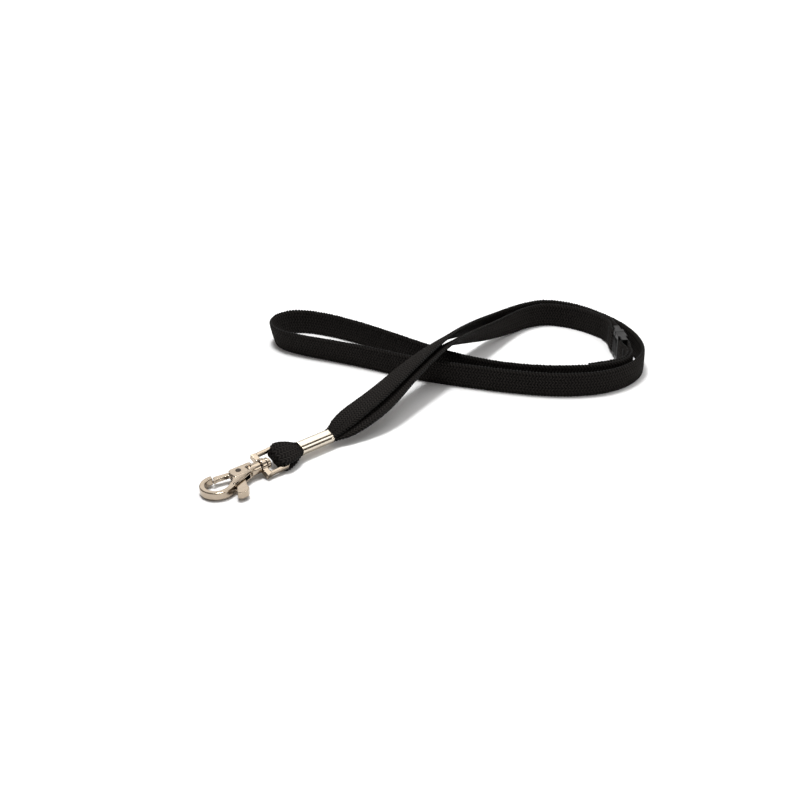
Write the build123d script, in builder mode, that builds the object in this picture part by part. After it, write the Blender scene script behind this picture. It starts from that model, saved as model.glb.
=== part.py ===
from build123d import *
from math import radians, sin, cos, tan
import os

os.makedirs("parts", exist_ok=True)

# A flat neck lanyard lying on a surface: webbing, crimp, swivel ring, trigger hook, breakaway clasp.
# Millimetres, +Z up, origin on the surface under the middle of the metal fittings.
# +X runs from the hook along the fittings to the webbing.

# webbing
strap_width = 10.0
strap_thick = 1.6
gather_width = 4.4
gather_thick = 2.6

# fittings' axis: it lies over the line y = axis_y, rolled so that its near side is lower
axis_y = 1.9
axis_z = 4.0
roll = 24.0
droop = 4.4

# crimp
crimp_start = 14.1
crimp_length = 15.0
crimp_wall = 0.5
crimp_seam = 0.3

# swivel ring
bar_x = 5.0
bar_radius = 0.9
bar_play = 0.2
ring_length = 9.1
ring_width = 11.0
ring_bar = 1.5
ring_base = 1.7
ring_corner = 1.3
ring_thick = 2.0
collar_radius = 2.3
collar_length = 2.6
loop_skin = 1.2
loop_width = 7.6
loop_bulge = 9.6

# hook, measured from the barrel's end towards the claw
hook_gap = 0.3
barrel_radius = 2.3
barrel_length = 4.8
claw_centre = 18.4
claw_off = 0.4
claw_radius = 6.4
eye_radius = 4.3
hook_thick = 3.0
claw_round = 0.4
slot_thick = 1.6
window_radius = 0.65

# trigger and its pin
pin_at = (7.9, -1.4)
pin_radius = 0.7
trigger_thick = 1.4
thumb_thick = 2.6
pin_play = 0.05

# swivel rivet
shank_radius = 1.1
shank_play = 0.05
head_radius = 1.8
head_thick = 0.8

# clasp, measured from the parting line towards the plug's strap
clasp_at = (169.0, -21.3)
clasp_heading = -125.0
clasp_height = 12.0
clasp_thick = 4.0
socket_block = 4.4
plug_block = 2.7
part_gap = 0.2
slot_length = 2.3
end_bar = 1.4
bar_thick = 1.6
fold_skin = 1.35
tongue_length = 3.5
tongue_thick = 1.8
tongue_height = 6.8
tongue_play = 0.15
tack_thick = 0.25
tack_run = 1.0
tack_inset = 1.2
fold_taper = 3.0
fold_reach = 12.5


def corner_radii(points):
    """Arc radius at each corner: 0.45 of the shorter run over the tangent of half the turn."""
    radii = []
    for before, here, after in zip(points, points[1:], points[2:]):
        run_in = Vector(*here) - Vector(*before)
        run_out = Vector(*after) - Vector(*here)
        turn = run_in.get_angle(run_out)
        shorter = min(run_in.length, run_out.length)
        radii.append(0.45 * shorter / tan(radians(turn / 2)))
    return radii


def report_band(name, part, length):
    """Compare a strap's solid with its section times its length."""
    section = strap_width * strap_thick
    print(f"{name}: length {length:.1f}, volume {part.volume:.0f}, section x length {section * length:.0f}")


# ---------------------------------------------------------------- fittings' planes

side = Vector(0, cos(radians(roll)), sin(radians(roll)))
normal = Vector(0, -sin(radians(roll)), cos(radians(roll)))
axis_point = Vector(0, axis_y, axis_z)
crimp_plane = Plane(origin=axis_point, x_dir=(1, 0, 0), z_dir=normal)

bar_centre = axis_point + Vector(bar_x, 0, 0)
ring_axis = Vector(1, 0, 0) * cos(radians(droop)) + normal * sin(radians(droop))
ring_normal = normal * cos(radians(droop)) - Vector(1, 0, 0) * sin(radians(droop))
ring_plane = Plane(origin=bar_centre, x_dir=ring_axis, z_dir=ring_normal)

hook_end = bar_centre - ring_axis * (ring_length + hook_gap)
hook_up = (Vector(0, 0, 1) - ring_axis * ring_axis.Z).normalized()
hook_plane = Plane(origin=hook_end, x_dir=ring_axis * -1, z_dir=hook_up)
barrel_plane = Plane(origin=hook_end, x_dir=hook_up, z_dir=ring_axis * -1)
pin_plane = Plane(origin=hook_plane.from_local_coords((pin_at[0], pin_at[1], 0)), x_dir=ring_axis * -1, z_dir=hook_up)

# ---------------------------------------------------------------- webbing loop round the cross bar

loop_outer = bar_radius + bar_play + loop_skin
loop_end = crimp_start + crimp_length
side_plane = Plane(origin=axis_point, x_dir=(1, 0, 0), z_dir=side * -1)

with BuildPart() as strap_ring_loop:
    with BuildSketch(side_plane) as loop_profile:
        with BuildLine():
            Polyline(
                (bar_x, loop_outer),
                (bar_x + 2.5, loop_outer * 0.93),
                (crimp_start - 0.6, gather_thick / 2),
                (loop_end, gather_thick / 2),
                (loop_end, -gather_thick / 2),
                (crimp_start - 0.6, -gather_thick / 2),
                (bar_x + 2.5, -loop_outer * 0.93),
                (bar_x, -loop_outer),
            )
            RadiusArc((bar_x, -loop_outer), (bar_x, loop_outer), loop_outer)
        make_face()
        with Locations((bar_x, 0)):
            Circle(bar_radius + bar_play, mode=Mode.SUBTRACT)
    extrude(amount=loop_bulge / 2, both=True)
    with BuildSketch(crimp_plane) as loop_plan:
        with BuildLine():
            Polyline(
                (bar_x - loop_outer - 1, loop_width / 2),
                (bar_x + 1.2, loop_width / 2),
                (bar_x + 3.2, loop_bulge / 2),
                (crimp_start - 0.6, gather_width / 2),
                (loop_end, gather_width / 2),
                (loop_end, -gather_width / 2),
                (crimp_start - 0.6, -gather_width / 2),
                (bar_x + 3.2, -loop_bulge / 2),
                (bar_x + 1.2, -loop_width / 2),
                (bar_x - loop_outer - 1, -loop_width / 2),
                close=True,
            )
        make_face()
    extrude(amount=loop_outer + 1, both=True, mode=Mode.INTERSECT)
strap_ring_loop.part.label = "strap_ring_loop"
export_step(strap_ring_loop.part, "parts/strap_ring_loop.step")

# ---------------------------------------------------------------- ferrule crimp

crimp_face = Plane(origin=axis_point + Vector(crimp_start, 0, 0), x_dir=side, z_dir=(1, 0, 0))
crimp_outer_width = gather_width + 2 * crimp_wall
crimp_outer_thick = gather_thick + 2 * crimp_wall

with BuildPart() as crimp:
    with BuildSketch(crimp_face):
        RectangleRounded(crimp_outer_width, crimp_outer_thick, 1.3)
        Rectangle(gather_width, gather_thick, mode=Mode.SUBTRACT)
        with Locations((-gather_width / 2 + 0.9, crimp_outer_thick / 2)):
            Rectangle(crimp_seam, 3 * crimp_wall, mode=Mode.SUBTRACT)
    extrude(amount=crimp_length)
crimp.part.label = "ferrule_crimp"
export_step(crimp.part, "parts/ferrule_crimp.step")

# ---------------------------------------------------------------- swivel ring

outer_half = ring_width / 2
inner_half = outer_half - ring_bar
base_outer = -ring_length + hook_gap
base_inner = base_outer + ring_base

with BuildPart() as swivel_ring:
    with BuildSketch(ring_plane):
        with BuildLine():
            FilletPolyline(
                (bar_radius, -outer_half + 0.5),
                (0.2, -outer_half),
                (base_outer + ring_corner, -outer_half),
                (base_outer, -outer_half + ring_corner),
                (base_outer, outer_half - ring_corner),
                (base_outer + ring_corner, outer_half),
                (0.2, outer_half),
                (bar_radius, outer_half - 0.5),
                (bar_radius, inner_half),
                (base_inner + 0.6, inner_half),
                (base_inner, inner_half - 0.6),
                (base_inner, -inner_half + 0.6),
                (base_inner + 0.6, -inner_half),
                (bar_radius, -inner_half),
                radius=0.25,
                close=True,
            )
        make_face()
    extrude(amount=ring_thick / 2, both=True)
    fillet(swivel_ring.faces().sort_by(Axis(bar_centre, ring_normal))[-1].edges(), 0.45)
    fillet(swivel_ring.faces().sort_by(Axis(bar_centre, ring_normal))[0].edges(), 0.45)
    with BuildSketch(Plane(origin=bar_centre, x_dir=ring_axis, z_dir=side)):
        Circle(bar_radius)
    extrude(amount=inner_half + ring_bar / 2, both=True)
    with BuildSketch(Plane(origin=hook_end + ring_axis * hook_gap, x_dir=ring_normal, z_dir=ring_axis)):
        Circle(collar_radius)
    extrude(amount=collar_length)
    with BuildSketch(Plane(origin=hook_end, x_dir=ring_normal, z_dir=ring_axis)):
        Circle(shank_radius + shank_play)
    extrude(amount=ring_length * 0.4, mode=Mode.SUBTRACT)
swivel_ring.part.label = "swivel_ring"
export_step(swivel_ring.part, "parts/swivel_ring.step")

# ---------------------------------------------------------------- swivel rivet

shank_depth = 3.2
head_at = hook_gap + collar_length + 0.1

with BuildPart() as swivel_rivet:
    with BuildSketch(Plane(origin=hook_end - ring_axis * shank_depth, x_dir=ring_normal, z_dir=ring_axis)):
        Circle(shank_radius)
    extrude(amount=shank_depth + head_at)
    with BuildSketch(Plane(origin=hook_end + ring_axis * head_at, x_dir=ring_normal, z_dir=ring_axis)):
        Circle(head_radius)
    extrude(amount=head_thick)
    chamfer(swivel_rivet.edges().filter_by(GeomType.CIRCLE).sort_by(Axis(hook_end, ring_axis))[-1], 0.3)
swivel_rivet.part.label = "swivel_rivet"
export_step(swivel_rivet.part, "parts/swivel_rivet.step")

# ---------------------------------------------------------------- hook body

gate_near_claw = claw_centre - 2.0
gate_near_body = 10.5
eye_end = 12.2

with BuildPart() as hook_body:
    with BuildSketch(hook_plane):
        with BuildLine():
            CenterArc((claw_centre, claw_off), claw_radius, 0, 360)
            CenterArc((barrel_length, 0), barrel_radius, 0, 360)
        make_hull()
        with Locations((claw_centre, claw_off)):
            Circle(eye_radius, mode=Mode.SUBTRACT)
        Polygon(
            (claw_centre, claw_off + eye_radius * 0.985),
            (eye_end + 1.4, 2.6),
            (eye_end + 0.3, 1.4),
            (eye_end, -0.4),
            (claw_centre - 3.6, -1.6),
            align=None,
            mode=Mode.SUBTRACT,
        )
        Polygon(
            (gate_near_body + 1.1, -1.0),
            (gate_near_body, -4.2),
            (gate_near_body, -9.0),
            (gate_near_claw - 0.4, -9.0),
            (gate_near_claw + 1.4, -2.4),
            (eye_end + 0.8, 0.6),
            (eye_end - 0.3, 0.4),
            align=None,
            mode=Mode.SUBTRACT,
        )
    extrude(amount=hook_thick / 2, both=True)
    fillet(hook_body.faces().sort_by(Axis(hook_end, hook_up))[-1].edges(), claw_round)
    fillet(hook_body.faces().sort_by(Axis(hook_end, hook_up))[0].edges(), claw_round)
    with BuildSketch(barrel_plane):
        Circle(barrel_radius)
    extrude(amount=barrel_length)
    with BuildSketch(barrel_plane):
        Circle(shank_radius)
    extrude(amount=shank_depth, mode=Mode.SUBTRACT)
    with BuildSketch(hook_plane):
        with BuildLine():
            Polyline(
                (5.6, -5.5),
                (5.6, 2.6),
                (6.4, 7.5),
                (14.6, 7.5),
                (13.0, 2.6),
                (12.9, -5.5),
                close=True,
            )
        make_face()
    extrude(amount=slot_thick / 2, both=True, mode=Mode.SUBTRACT)
    with BuildSketch(pin_plane):
        Circle(pin_radius)
    extrude(amount=hook_thick, both=True, mode=Mode.SUBTRACT)
    with BuildSketch(hook_plane):
        with Locations((shank_depth + 0.9, 0)):
            Circle(window_radius)
    extrude(amount=barrel_radius + 1, both=True, mode=Mode.SUBTRACT)
hook_body.part.label = "hook_body"
export_step(hook_body.part, "parts/hook_body.step")

# ---------------------------------------------------------------- trigger, pin and spring

boss_radius = 1.75
spring_ring = 1.2
spring_wire = 0.18

with BuildPart() as trigger:
    with BuildSketch(hook_plane):
        with Locations(pin_at):
            Circle(boss_radius)
        Polygon(
            (6.7, -2.2),
            (8.8, -3.7),
            (11.5, -4.3),
            (gate_near_claw - 0.5, -5.4),
            (gate_near_claw + 0.2, -5.0),
            (gate_near_claw + 0.4, -3.9),
            (gate_near_claw + 1.2, -3.6),
            (gate_near_claw + 1.2, -2.7),
            (gate_near_claw - 0.5, -3.0),
            (11.8, -2.2),
            (9.6, -0.9),
            align=None,
        )
        Polygon(
            (6.4, -0.4),
            (8.4, 3.4),
            (10.2, 7.2),
            (11.3, 9.7),
            (15.9, 9.4),
            (13.3, 5.2),
            (12.2, 2.0),
            (9.9, -0.9),
            align=None,
        )
    extrude(amount=trigger_thick / 2, both=True)
    with BuildSketch(hook_plane):
        Polygon((10.9, 8.8), (15.4, 8.5), (16.2, 9.9), (15.4, 11.3), (12.6, 11.4), (11.3, 10.2), align=None)
    extrude(amount=thumb_thick / 2, both=True)
    with BuildSketch(pin_plane):
        Circle(pin_radius + pin_play)
    extrude(amount=hook_thick, both=True, mode=Mode.SUBTRACT)
    with BuildSketch(pin_plane.offset(-trigger_thick / 2)):
        Circle(spring_ring + spring_wire + 0.1)
    extrude(amount=3 * spring_wire + 0.1, mode=Mode.SUBTRACT)
trigger.part.label = "trigger"
export_step(trigger.part, "parts/trigger.step")

with BuildPart() as trigger_pin:
    with BuildSketch(pin_plane.offset(-hook_thick / 2)):
        Circle(pin_radius)
    extrude(amount=hook_thick + 0.3)
    with BuildSketch(pin_plane.offset(hook_thick / 2)):
        Circle(pin_radius + 0.35)
    extrude(amount=0.3)
trigger_pin.part.label = "trigger_pin"
export_step(trigger_pin.part, "parts/trigger_pin.step")

spring_plane = Plane(origin=pin_plane.origin, x_dir=pin_plane.x_dir, z_dir=pin_plane.y_dir)

with BuildPart() as trigger_spring:
    with BuildSketch(spring_plane):
        for turn in range(2):
            with Locations((spring_ring - 0.1, trigger_thick / 2 - spring_wire * (1 + 1.6 * turn))):
                Circle(spring_wire)
    revolve(axis=Axis(pin_plane.origin, pin_plane.z_dir))
trigger_spring.part.label = "trigger_spring"
export_step(trigger_spring.part, "parts/trigger_spring.step")

# ---------------------------------------------------------------- strands over the crossing

# where each strand runs on to, once it stands on edge
upper_onward = (174.1, 27.5)
lower_onward = (171.8, 23.5)

# Each station: centre of the section, its width, and how far its right-hand edge is turned up.
upper_strand = [
    ((29.1, 1.62, 4.62), gather_width, -roll),
    ((38.1, 3.7, 7.2), 8.8, -10),
    ((55.6, 5.5, 10.6), strap_width, 8),
    ((75.6, 10.3, 14.0), strap_width, 20),
    ((93.6, 14.9, 15.9), strap_width, 30),
    ((107.6, 18.9, 15.8), strap_width, 40),
    ((122.6, 22.7, 13.2), strap_width, 52),
    ((138.6, 26.7, 9.2), strap_width, 68),
    ((153.6, 29.5, 6.4), strap_width, 82),
    ((164.6, 30.2, 5.0), strap_width, 90),
]
lower_strand = [
    ((29.1, 2.18, 3.38), gather_width, -roll),
    ((37.1, 0.9, 4.3), 8.2, -14),
    ((53.6, 1.1, 7.6), strap_width, 6),
    ((72.6, 6.9, 11.3), strap_width, 20),
    ((91.6, 12.5, 13.6), strap_width, 28),
    ((106.6, 16.5, 13.9), strap_width, 34),
    ((120.6, 19.5, 11.2), strap_width, 50),
    ((136.6, 22.7, 7.6), strap_width, 68),
    ((151.6, 25.5, 5.6), strap_width, 84),
    ((162.6, 26.3, 5.0), strap_width, 90),
]


def strand_sections(stations, onward):
    """Planes square to the strand at each station, with the strap's width along their x."""
    points = [Vector(*place) for place, width, turn in stations]
    planes = []
    for number, (place, width, turn) in enumerate(stations):
        ahead = points[min(number + 1, len(points) - 1)]
        behind = points[max(number - 1, 0)]
        heading = (ahead - behind).normalized()
        if number == len(stations) - 1:
            heading = (Vector(*onward, points[number].Z) - points[number]).normalized()
        if number == 0:
            heading = Vector(1, 0, 0)
        right = heading.cross(Vector(0, 0, 1)).normalized()
        up = right.cross(heading)
        across = right * cos(radians(turn)) + up * sin(radians(turn))
        planes.append(Plane(origin=points[number], x_dir=across, z_dir=heading))
    return planes


def strand_length(stations):
    points = [Vector(*place) for place, width, turn in stations]
    return sum((b - a).length for a, b in zip(points, points[1:]))


with BuildPart() as strap_upper_strand:
    for plane, (place, width, turn) in zip(strand_sections(upper_strand, upper_onward), upper_strand):
        with BuildSketch(plane):
            Rectangle(width, gather_thick / 2 if width == gather_width else strap_thick)
    loft(ruled=True)
strap_upper_strand.part.label = "strap_upper_strand"
export_step(strap_upper_strand.part, "parts/strap_upper_strand.step")
report_band("upper strand", strap_upper_strand.part, strand_length(upper_strand))

with BuildPart() as strap_lower_strand:
    for plane, (place, width, turn) in zip(strand_sections(lower_strand, lower_onward), lower_strand):
        with BuildSketch(plane):
            Rectangle(width, gather_thick / 2 if width == gather_width else strap_thick)
    loft(ruled=True)
strap_lower_strand.part.label = "strap_lower_strand"
export_step(strap_lower_strand.part, "parts/strap_lower_strand.step")
report_band("lower strand", strap_lower_strand.part, strand_length(lower_strand))

# ---------------------------------------------------------------- loops that stand on edge

clasp_plane = Plane(origin=(*clasp_at, 0), x_dir=(cos(radians(clasp_heading)), sin(radians(clasp_heading)), 0))


def clasp_line(along):
    """Point on the clasp's own line, measured from its parting line towards the socket."""
    point = clasp_plane.from_local_coords((along, 0, 0))
    return (point.X, point.Y)


# Middle of the webbing's thickness: right loop's outer turn, front band, left loop, then the inner band.
outer_route = [
    (164.6, 30.2),
    (174.1, 27.5),
    (181.1, 19.9),
    (184.0, 9.3),
    (183.8, -2.7),
    (181.4, -15.2),
    (175.8, -27.7),
    (166.0, -37.5),
    (153.1, -41.7),
    (140.1, -40.3),
    (128.1, -33.3),
    (118.1, -23.3),
    (109.1, -10.2),
    (101.1, 3.3),
    (94.1, 15.3),
    (88.4, 29.3),
    (83.2, 44.3),
    (77.2, 57.8),
    (71.8, 69.3),
    (68.2, 79.3),
    (69.2, 88.3),
    (76.0, 93.9),
    (84.6, 92.9),
    (90.6, 85.3),
    (95.0, 74.3),
    (98.4, 60.3),
    (100.8, 46.3),
    (102.8, 32.3),
    (105.0, 18.3),
    (109.2, 4.7),
    (115.6, -8.1),
    (124.2, -19.3),
    (134.0, -28.1),
    (142.6, -33.3),
    (152.6, -37.3),
    clasp_line(17.5),
    clasp_line(fold_reach),
]
inner_route = [
    (162.6, 26.3),
    (171.8, 23.5),
    (178.0, 16.1),
    (180.2, 6.3),
    (179.8, -3.1),
    clasp_line(-16.2),
    clasp_line(-fold_reach),
]


def halfway(a, b):
    return ((a[0] + b[0]) / 2, (a[1] + b[1]) / 2)


def stretch(route, first, last):
    """The route's points first to last; an end inside the route stops halfway along its run."""
    points = list(route[first:last + 1])
    if first > 0:
        points.insert(0, halfway(route[first - 1], route[first]))
    if last < len(route) - 1:
        points.append(halfway(route[last], route[last + 1]))
    return points


def flat_radii(points):
    return corner_radii([(x, y, 0) for x, y in points])


on_edge_stretches = {
    "strap_right_outer": (stretch(outer_route, 0, 13), strap_thick),
    "strap_left_loop": (stretch(outer_route, 14, 28), strap_thick),
    "strap_right_inner": (stretch(outer_route, 29, 32), strap_thick),
    "strap_socket_bend": (stretch(outer_route, 33, 36), 2 * strap_thick),
    "strap_inner_back": (stretch(inner_route, 0, 3), strap_thick),
    "strap_plug_bend": (stretch(inner_route, 4, 6), 2 * strap_thick),
}

for name, (points, thick) in on_edge_stretches.items():
    radii = flat_radii(points)
    print(name, "radii", [round(radius, 1) for radius in radii])
    with BuildPart() as strap_band:
        with BuildSketch():
            with BuildLine():
                run = FilletPolyline(*points, radius=radii)
            trace(line_width=thick)
        extrude(amount=strap_width)
    report_band(name, strap_band.part, run.length * thick / strap_thick)
    strap_band.part.label = name
    export_step(strap_band.part, f"parts/{name}.step")

# ---------------------------------------------------------------- clasp

rail = 0.8
rail_thick = 2.4
socket_face = part_gap / 2
plug_face = -part_gap / 2
strap_low = (clasp_height - strap_width) / 2


def clasp_half(face, block, sense):
    """Block, two rails and an end bar, all the clasp's height, with the slot for the webbing."""
    slot_near = face + sense * block
    slot_far = slot_near + sense * slot_length
    end = slot_far + sense * end_bar
    with BuildPart() as half:
        with BuildSketch(clasp_plane):
            with Locations(((face + slot_near) / 2, 0)):
                RectangleRounded(abs(slot_near - face), clasp_thick, 0.5)
        extrude(amount=clasp_height)
        with BuildSketch(clasp_plane):
            with Locations(((slot_near + end) / 2 - sense * 0.3, 0)):
                Rectangle(abs(end - slot_near) + 0.6, rail_thick)
        with BuildSketch(clasp_plane.offset(clasp_height - rail)):
            with Locations(((slot_near + end) / 2 - sense * 0.3, 0)):
                Rectangle(abs(end - slot_near) + 0.6, rail_thick)
        extrude(amount=rail)
        with BuildSketch(clasp_plane):
            with Locations(((slot_far + end) / 2, 0)):
                RectangleRounded(end_bar, bar_thick, 0.4)
        extrude(amount=clasp_height)
    return half.part, slot_far, end


socket_blank, socket_bar, socket_end = clasp_half(socket_face, socket_block, 1)
plug_blank, plug_bar, plug_end = clasp_half(plug_face, plug_block, -1)
cavity_depth = tongue_length + 0.3

with BuildPart() as clasp_socket:
    add(socket_blank)
    with BuildSketch(clasp_plane.offset((clasp_height - tongue_height) / 2 - tongue_play)):
        with Locations((socket_face + cavity_depth / 2, 0)):
            Rectangle(cavity_depth, tongue_thick + 2 * tongue_play)
    extrude(amount=tongue_height + 2 * tongue_play, mode=Mode.SUBTRACT)
clasp_socket.part.label = "clasp_socket"
export_step(clasp_socket.part, "parts/clasp_socket.step")

with BuildPart() as clasp_plug:
    add(plug_blank)
    with BuildSketch(clasp_plane.offset((clasp_height - tongue_height) / 2)):
        with Locations((plug_face + tongue_length / 2 - 0.2, 0)):
            Rectangle(tongue_length + 0.4, tongue_thick)
    extrude(amount=tongue_height)
clasp_plug.part.label = "clasp_plug"
export_step(clasp_plug.part, "parts/clasp_plug.step")


def strap_fold(bar_near, end, fold_end):
    """Webbing turned round the end bar: two layers that close up towards the fold's end."""
    sense = 1 if end > bar_near else -1
    half = bar_thick / 2 + 0.1 + fold_skin
    turn = bar_near - sense * (fold_skin + 0.1)
    with BuildPart() as fold:
        with BuildSketch(clasp_plane.offset(strap_low)):
            Polygon(
                (turn + sense * 0.9, half),
                (end + sense * 0.4, half),
                (end + sense * fold_taper, strap_thick),
                (fold_end, strap_thick),
                (fold_end, -strap_thick),
                (end + sense * fold_taper, -strap_thick),
                (end + sense * 0.4, -half),
                (turn + sense * 0.9, -half),
                (turn, -half + 1.1),
                (turn, half - 1.1),
                align=None,
            )
            Polygon(
                (bar_near - sense * 0.1, bar_thick / 2 + 0.1),
                (end + sense * 0.1, bar_thick / 2 + 0.1),
                (end + sense * 1.6, 0),
                (end + sense * 0.1, -bar_thick / 2 - 0.1),
                (bar_near - sense * 0.1, -bar_thick / 2 - 0.1),
                align=None,
                mode=Mode.SUBTRACT,
            )
        extrude(amount=strap_width)
    return fold.part


def bar_tack(end):
    """Row of thread across the webbing, on the layer that faces into the loop."""
    sense = 1 if end > 0 else -1
    middle = end + sense * (fold_taper + 0.2 + tack_run / 2)
    with BuildPart() as tack:
        with BuildSketch(clasp_plane.offset(strap_low + tack_inset)):
            with Locations((middle, -strap_thick - tack_thick / 2)):
                Rectangle(tack_run, tack_thick)
        extrude(amount=strap_width - 2 * tack_inset)
    return tack.part


with BuildPart() as strap_fold_socket:
    add(strap_fold(socket_bar, socket_end, fold_reach))
strap_fold_socket.part.label = "strap_fold_socket"
export_step(strap_fold_socket.part, "parts/strap_fold_socket.step")

with BuildPart() as strap_fold_plug:
    add(strap_fold(plug_bar, plug_end, -fold_reach))
strap_fold_plug.part.label = "strap_fold_plug"
export_step(strap_fold_plug.part, "parts/strap_fold_plug.step")

with BuildPart() as bar_tack_socket:
    add(bar_tack(socket_end))
bar_tack_socket.part.label = "bar_tack_socket"
export_step(bar_tack_socket.part, "parts/bar_tack_socket.step")

with BuildPart() as bar_tack_plug:
    add(bar_tack(plug_end))
bar_tack_plug.part.label = "bar_tack_plug"
export_step(bar_tack_plug.part, "parts/bar_tack_plug.step")
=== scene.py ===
import math

import bmesh
import bpy
import numpy as np
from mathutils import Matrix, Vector


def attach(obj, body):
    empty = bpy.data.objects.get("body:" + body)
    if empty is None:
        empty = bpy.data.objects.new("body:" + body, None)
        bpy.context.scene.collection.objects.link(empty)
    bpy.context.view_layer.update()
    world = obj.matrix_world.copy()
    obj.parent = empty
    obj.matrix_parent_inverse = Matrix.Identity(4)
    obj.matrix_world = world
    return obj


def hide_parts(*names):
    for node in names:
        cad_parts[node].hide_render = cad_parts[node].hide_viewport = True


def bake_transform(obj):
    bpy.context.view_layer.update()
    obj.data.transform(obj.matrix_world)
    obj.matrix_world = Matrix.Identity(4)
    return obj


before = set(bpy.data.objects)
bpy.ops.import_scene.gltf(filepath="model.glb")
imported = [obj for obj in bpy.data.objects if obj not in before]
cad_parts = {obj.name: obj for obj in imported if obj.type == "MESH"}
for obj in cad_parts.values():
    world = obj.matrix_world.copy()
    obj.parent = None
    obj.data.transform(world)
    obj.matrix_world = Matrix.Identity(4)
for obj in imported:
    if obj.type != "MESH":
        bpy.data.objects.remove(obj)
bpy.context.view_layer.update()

mm = 0.001

# camera, table and light

cameraSet = {
    "target": (0.0739, 0.0119, 0.0),  # the spot on the table at the middle of the view
    "heading": 42.5,                  # degrees the view is turned from +Y towards +X
    "above": 27.0,                    # degrees above the table
    "distance": 0.580,
    "lens": 65.25,
}


def makeCamera(s):
    away = Vector((math.sin(math.radians(s["heading"])), math.cos(math.radians(s["heading"])), 0))
    above = math.radians(s["above"])
    target = Vector(s["target"])
    place = target + s["distance"] * (Vector((0, 0, math.sin(above))) - away * math.cos(above))
    data = bpy.data.cameras.new("camera")
    data.lens = s["lens"]
    data.sensor_width = 36
    data.clip_start = 0.01
    camera = bpy.data.objects.new("camera", data)
    camera.location = place
    camera.rotation_euler = (target - place).to_track_quat("-Z", "Y").to_euler()
    bpy.context.scene.collection.objects.link(camera)
    bpy.context.scene.camera = camera
    return away


viewAway = makeCamera(cameraSet)
viewRight = Vector((viewAway.y, -viewAway.x, 0))


def linear(hexColour):
    out = []
    for i in (1, 3, 5):
        c = int(hexColour[i:i + 2], 16) / 255
        out.append(c / 12.92 if c <= 0.04045 else ((c + 0.055) / 1.055) ** 2.4)
    return (*out, 1.0)


def addNode(tree, kind, settings=None, **links):
    # Settings are attributes or input values; links come from other nodes' sockets, i0 being input 0.
    node = tree.nodes.new(kind)
    for key, value in (settings or {}).items():
        if isinstance(key, str) and hasattr(node, key):
            setattr(node, key, value)
        else:
            node.inputs[key].default_value = value
    for key, socket in links.items():
        name = int(key[1:]) if key[0] == "i" and key[1:].isdigit() else key.replace("_", " ")
        tree.links.new(socket, node.inputs[name])
    return node


def startMaterial(name):
    material = bpy.data.materials.new(name)
    material.use_nodes = True
    tree = material.node_tree
    tree.nodes.clear()
    shader = addNode(tree, "ShaderNodeBsdfPrincipled")
    addNode(tree, "ShaderNodeOutputMaterial", Surface=shader.outputs["BSDF"])
    return material, tree, shader


# matt white card: bright, with only a trace of grain
def makeTableCard():
    material, tree, shader = startMaterial("whiteCard")
    shader.inputs["Roughness"].default_value = 0.75
    shader.inputs["Specular IOR Level"].default_value = 0.2
    where = addNode(tree, "ShaderNodeTexCoord")
    grain = addNode(tree, "ShaderNodeTexNoise", {"Scale": 900.0, "Detail": 2.0}, Vector=where.outputs["Object"])
    tone = addNode(tree, "ShaderNodeMix", {"data_type": "RGBA", 6: linear("#F4F4F4"), 7: linear("#FAFAFA")},
                   Factor=grain.outputs["Fac"])
    tree.links.new(tone.outputs[2], shader.inputs["Base Color"])
    return material


def makeTable(side=2.4):
    mesh = bpy.data.meshes.new("tableTop")
    h = side / 2
    mesh.from_pydata([(-h, -h, 0), (h, -h, 0), (h, h, 0), (-h, h, 0)], [], [(0, 1, 2, 3)])
    table = bpy.data.objects.new("tableTop", mesh)
    table.location.z = -0.0001
    bpy.context.scene.collection.objects.link(table)
    mesh.materials.append(makeTableCard())


def areaLight(name, place, aim, size, power, colour="#FFFFFF"):
    data = bpy.data.lights.new(name, "AREA")
    data.shape = "RECTANGLE"
    data.size, data.size_y = size
    data.energy = power
    data.color = linear(colour)[:3]
    light = bpy.data.objects.new(name, data)
    light.location = place
    light.rotation_euler = (Vector(aim) - Vector(place)).to_track_quat("-Z", "Y").to_euler()
    bpy.context.scene.collection.objects.link(light)


def viewPoint(right, away, up):
    # Right of, beyond and above the camera's target.
    return Vector(cameraSet["target"]) + viewRight * right + viewAway * away + Vector((0, 0, up))


lightSet = {"key": 11.0, "top": 8.5, "beyond": 2.1, "card": 1.2, "sky": 0.45}  # watts, but for the sky


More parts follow.
